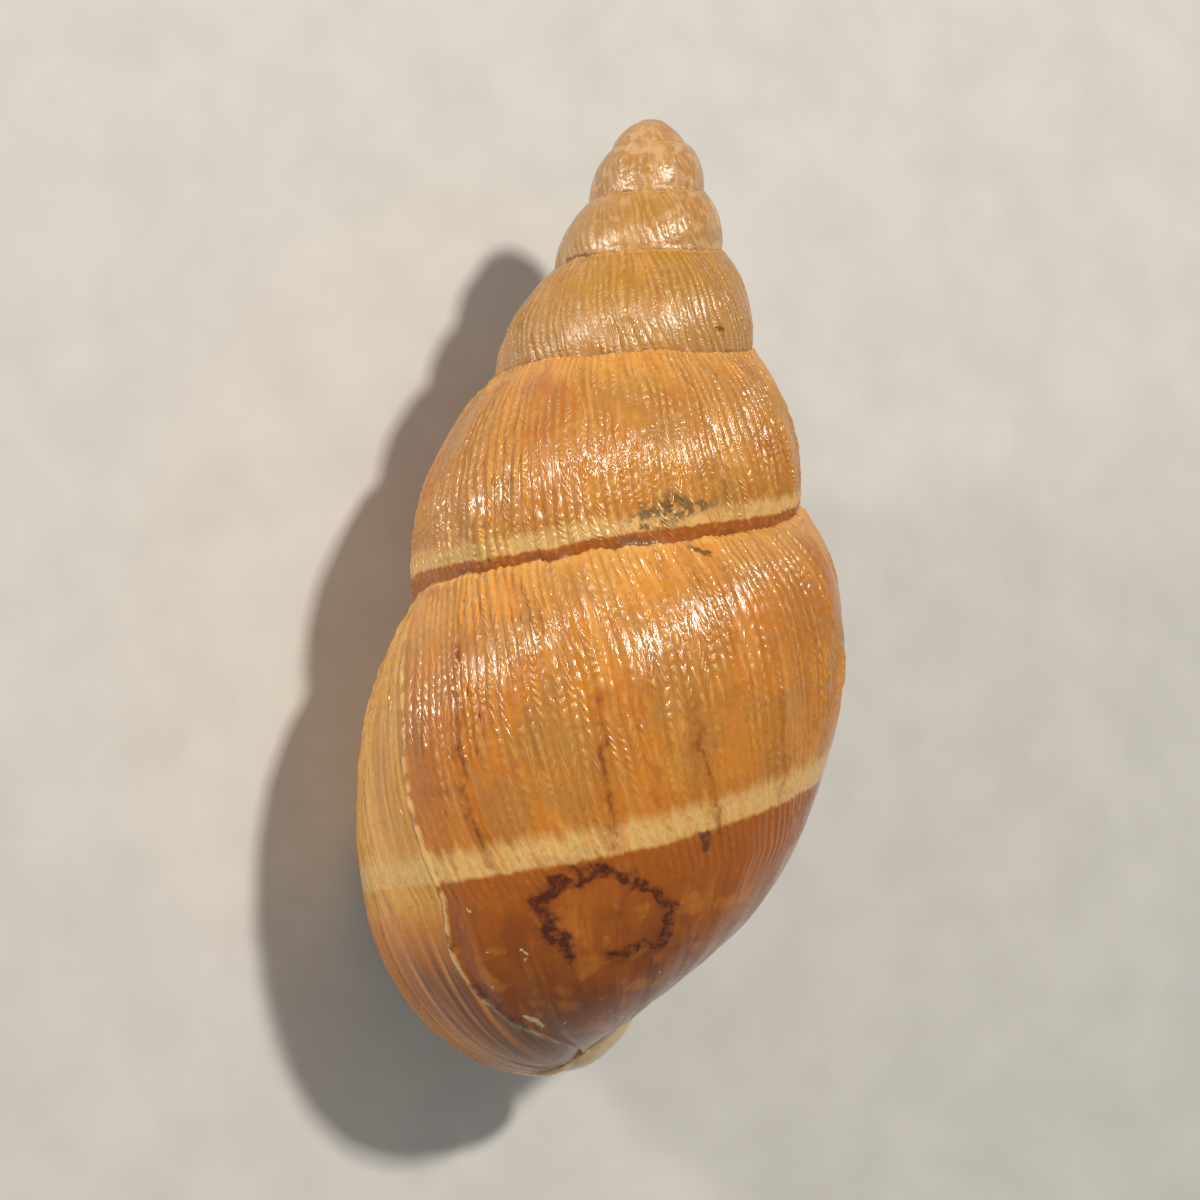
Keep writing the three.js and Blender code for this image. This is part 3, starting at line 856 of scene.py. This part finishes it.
    # the seams between whorls, darkened in patches: dirt, and painted shade in the crease
    lowSeam = times(between(across, 0.95, 0.995), between(growth, nextWhorl, nextWhorl - 0.02))
    seam = calc(tree, "MAXIMUM", lowSeam, between(across, 0.012, 0.0))
    grimeAndShade = times(streaks(26.0, 3.0, 27.0, 0.35, 0.65), grains(0.4, 1.0, 0.3, 0.5))
    colour = paint(colour, "dirtAndShade", seam, grimeAndShade, 0.75)
    colour = paint(colour, "crest", between(across, 0.045, 0.015), streaks(150.0, 2.0, 28.0, 0.4, 0.55), 0.6)
    # small white specks
    for speck in marks["specks"]:
        colour = paint(colour, "chalkAndGlint", stroke([speck], marks["speckWidth"]), 0.9)
    colour = paint(colour, "chalkAndGlint", stroke(*marks["chalkTrace"]), grains(0.3, 14.0, 0.3, 0.45))

    spread = times(grains(0.5, 12.0, 0.3, 0.7), skinFinish["roughnessSpread"])
    gloss = plus(between(growth, -3.2, -1.5, *skinFinish["roughness"]), spread)
    gloss = plus(gloss, times(seam, skinFinish["seamRoughness"]))
    # riblets broken into dashes, and finer streaks and grains, that break up the light
    height = plus(times(crest, ribbed), times(streaks(420.0, 9.0, 15.0, 0.25, 0.75), 0.3, ribbed))
    height = plus(height, times(streaks(200.0, 3.0, 16.0, 0.25, 0.75), 0.2))
    height = plus(height, times(grains(0.35, 43.0, 0.3, 0.7), spire, 1.5))
    height = times(height, between(growth, -3.6, -0.9, skinFinish["apexBump"], 1.0))
    inputs = {"Height": height, "Strength": 1.0, "Distance": skinFinish["bumpDepth"]}
    bump = add(tree, "ShaderNodeBump", inputs).outputs[0]
    closeMaterial(tree, {
        "Base Color": colour, "Roughness": gloss, "Normal": bump, "Coat Normal": bump,
        "Specular IOR Level": skinFinish["specular"], "Coat Weight": skinFinish["coat"],
        "Coat Roughness": skinFinish["coatRoughness"],
    })
    return material


# The inside of the shell.
insideColours = {
    "brown": tint(186, 132, 84),
    "streak": tint(160, 98, 52),
    "underBand": tint(138, 84, 44),
    "band": tint(220, 184, 138),
    "nearPillar": tint(214, 178, 134),
    "lipEdge": tint(222, 190, 146),
}


def glazedInside():
    c = insideColours
    material, tree = newMaterial("glazedInside")
    map2d = add(tree, "ShaderNodeUVMap", uv_map="growthMap").outputs[0]
    mark = add(tree, "ShaderNodeUVMap", uv_map="markMap").outputs[0]
    growth, across = split(tree, map2d)[:2]
    inputs = {"Map": map2d, "Per Turn": 40.0, "Along": 1.0, "Seed": 3.0, "From": 0.35, "To": 0.65}
    soft = effect(tree, "growthStreaks", inputs)
    colour = over(tree, c["brown"], c["streak"], soft)
    colour = over(tree, colour, c["underBand"], remap(tree, split(tree, mark)[0], 1.0, 2.0))
    band = effect(tree, "paleBand", {"Map": map2d, "Mark": mark})
    colour = over(tree, colour, c["band"], calc(tree, "MULTIPLY", band, 0.8))
    nearPillar = remap(tree, across, 1.75, 2.1)
    colour = over(tree, colour, c["nearPillar"], calc(tree, "MULTIPLY", nearPillar, 0.8))
    lipEdge = remap(tree, growth, coil["lipTurn"] - 0.02, coil["lipTurn"])
    colour = over(tree, colour, c["lipEdge"], calc(tree, "MULTIPLY", lipEdge, 0.7))
    fine = effect(tree, "grains", {"Size": 0.6, "Seed": 5.0, "From": 0.3, "To": 0.7})
    bump = add(tree, "ShaderNodeBump", {"Height": soft, "Strength": 0.2, "Distance": 0.00002}).outputs[0]
    closeMaterial(tree, {
        "Base Color": colour, "Roughness": remap(tree, fine, 0.0, 1.0, 0.14, 0.24), "Normal": bump,
        "Coat Weight": 0.4, "Coat Roughness": 0.08,
    })
    return material


# The columellar lip.
callusColours = {
    "cream": tint(232, 198, 138),
    "tan": tint(208, 158, 92),
    "pale": tint(242, 220, 174),
}


def columellaCallus():
    c = callusColours
    material, tree = newMaterial("columellaCallus")
    fine = effect(tree, "grains", {"Size": 0.35, "Seed": 2.0, "From": 0.3, "To": 0.7})
    broad = effect(tree, "grains", {"Size": 2.2, "Seed": 4.0, "From": 0.35, "To": 0.65})
    colour = over(tree, c["cream"], c["tan"], broad)
    colour = over(tree, colour, c["pale"], calc(tree, "MULTIPLY", fine, 0.4))
    bump = add(tree, "ShaderNodeBump", {"Height": fine, "Strength": 0.2, "Distance": 0.00002}).outputs[0]
    closeMaterial(tree, {
        "Base Color": colour, "Roughness": remap(tree, fine, 0.0, 1.0, 0.2, 0.34), "Normal": bump,
        "Coat Weight": 0.3, "Coat Roughness": 0.12,
    })
    return material


# The floor.
floorColours = [tint(200, 198, 193), tint(207, 205, 200)]


def paleFloor():
    material, tree = newMaterial("paleFloor")
    fine = effect(tree, "grains", {"Size": 3.0, "Seed": 1.0, "From": 0.3, "To": 0.7})
    closeMaterial(tree, {"Base Color": over(tree, *floorColours, fine), "Roughness": 0.7})
    return material


buildEffects()


# Putting the shell together.
lying = {  # how it lies on the table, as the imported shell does
    "roll": -26,
    "pitch": 4,
    "shift": (0.3196261527, 14.8972516143, 7.6173371284),
}
sharpAngle = 60
metres = 0.001
laid = Matrix.Translation(lying["shift"]) @ Matrix.Rotation(math.radians(lying["pitch"]), 4, "X")
laid = laid @ Matrix.Rotation(math.radians(lying["roll"]), 4, "Y")

materials = [shellSkin(), glazedInside(), columellaCallus()]

wall = newObject("snailShell", filledShell(), materials)
print("filled shell built")
tube = newObject("hollow", hollowTube(), materials)
print("hollow built")
rod = newObject("pillar", bentRod(pillar), materials)
roll = newObject("lipRoll", bentRod(lipRoll), materials)
print("pillar and lip built")
# the hollow is cut before the pillar and the lip are joined on
for number, (cutter, operation) in enumerate(((tube, "DIFFERENCE"), (rod, "UNION"), (roll, "UNION"))):
    step = wall.modifiers.new(f"step{number + 1}", "BOOLEAN")
    step.object, step.operation, step.solver = cutter, operation, "MANIFOLD"
carved = bpy.data.meshes.new_from_object(wall.evaluated_get(bpy.context.evaluated_depsgraph_get()))
wall.modifiers.clear()
for cutter in (tube, rod, roll):
    bpy.data.objects.remove(cutter)
print("carved: polygons", len(carved.polygons), "vertices", len(carved.vertices))

bm = bmesh.new()
bm.from_mesh(carved)
bmesh.ops.transform(bm, matrix=laid, verts=bm.verts)
everything = bm.verts[:] + bm.edges[:] + bm.faces[:]
bmesh.ops.bisect_plane(bm, geom=everything, plane_no=(0, 0, 1), clear_inner=True)
bmesh.ops.holes_fill(bm, edges=[e for e in bm.edges if e.is_boundary], sides=0)
bmesh.ops.scale(bm, vec=(metres, metres, metres), verts=bm.verts)
print("open edges", sum(not e.is_manifold for e in bm.edges), "volume mm3", bm.calc_volume() / metres ** 3,
      "triangles", sum(len(f.verts) - 2 for f in bm.faces))
bm.to_mesh(wall.data)
bm.free()
wall.data.shade_smooth()
wall.data.set_sharp_from_angle(angle=math.radians(sharpAngle))
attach(wall, "root")
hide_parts("shell")

# Floor, light and camera.
studio = {
    "floorSize": 0.6,
    "aim": (-0.585, -15.005, 0),  # millimetres, before the shell is laid down
    "distance": 93.5,  # millimetres
    "tilt": 4.47,
    "lens": 90,
    "sensor": 36,
    "nearest": 0.001,
    "lights": [  # direction as the camera sees it, distance, size, power
        ((-0.7, 0.42, 0.58), 0.22, 0.018, 0.24),
        ((0.55, 0.46, 0.7), 0.24, 0.018, 0.49),
    ],
    "lightColour": (1, 0.95, 0.87),
    "world": 0.2,
    "viewTransform": "Standard",
}
bm = bmesh.new()
bmesh.ops.create_grid(bm, x_segments=1, y_segments=1, size=studio["floorSize"])
floor = newObject("floor", bm, [paleFloor()])

tilt = math.radians(studio["tilt"])
view = Matrix((
    (math.cos(tilt), -math.sin(tilt), 0),
    (math.sin(tilt), math.cos(tilt), 0),
    (0, 0, 1),
))
turned = laid.to_3x3() @ view
aim = laid @ Vector(studio["aim"]) * metres
eye = aim + turned @ Vector((0, 0, studio["distance"] * metres))
camera = bpy.data.objects.new("camera", bpy.data.cameras.new("camera"))
camera.data.lens = studio["lens"]
camera.data.sensor_width = studio["sensor"]
camera.data.clip_start = studio["nearest"]
camera.matrix_world = Matrix.Translation(eye) @ turned.to_4x4()
bpy.context.scene.collection.objects.link(camera)
bpy.context.scene.camera = camera

for number, (direction, distance, size, power) in enumerate(studio["lights"]):
    away = (turned @ Vector(direction)).normalized()
    lamp = bpy.data.lights.new(f"softbox{number + 1}", "AREA")
    lamp.size, lamp.energy, lamp.color = size, power, studio["lightColour"]
    holder = bpy.data.objects.new(lamp.name, lamp)
    holder.location = aim + away * distance
    holder.rotation_euler = away.to_track_quat("Z", "Y").to_euler()
    bpy.context.scene.collection.objects.link(holder)
world = bpy.data.worlds.new("studio")
world.use_nodes = True
background = world.node_tree.nodes["Background"]
background.inputs["Color"].default_value = (1, 1, 1, 1)
background.inputs["Strength"].default_value = studio["world"]
bpy.context.scene.view_settings.view_transform = studio["viewTransform"]
bpy.context.scene.world = world
print("studio set")
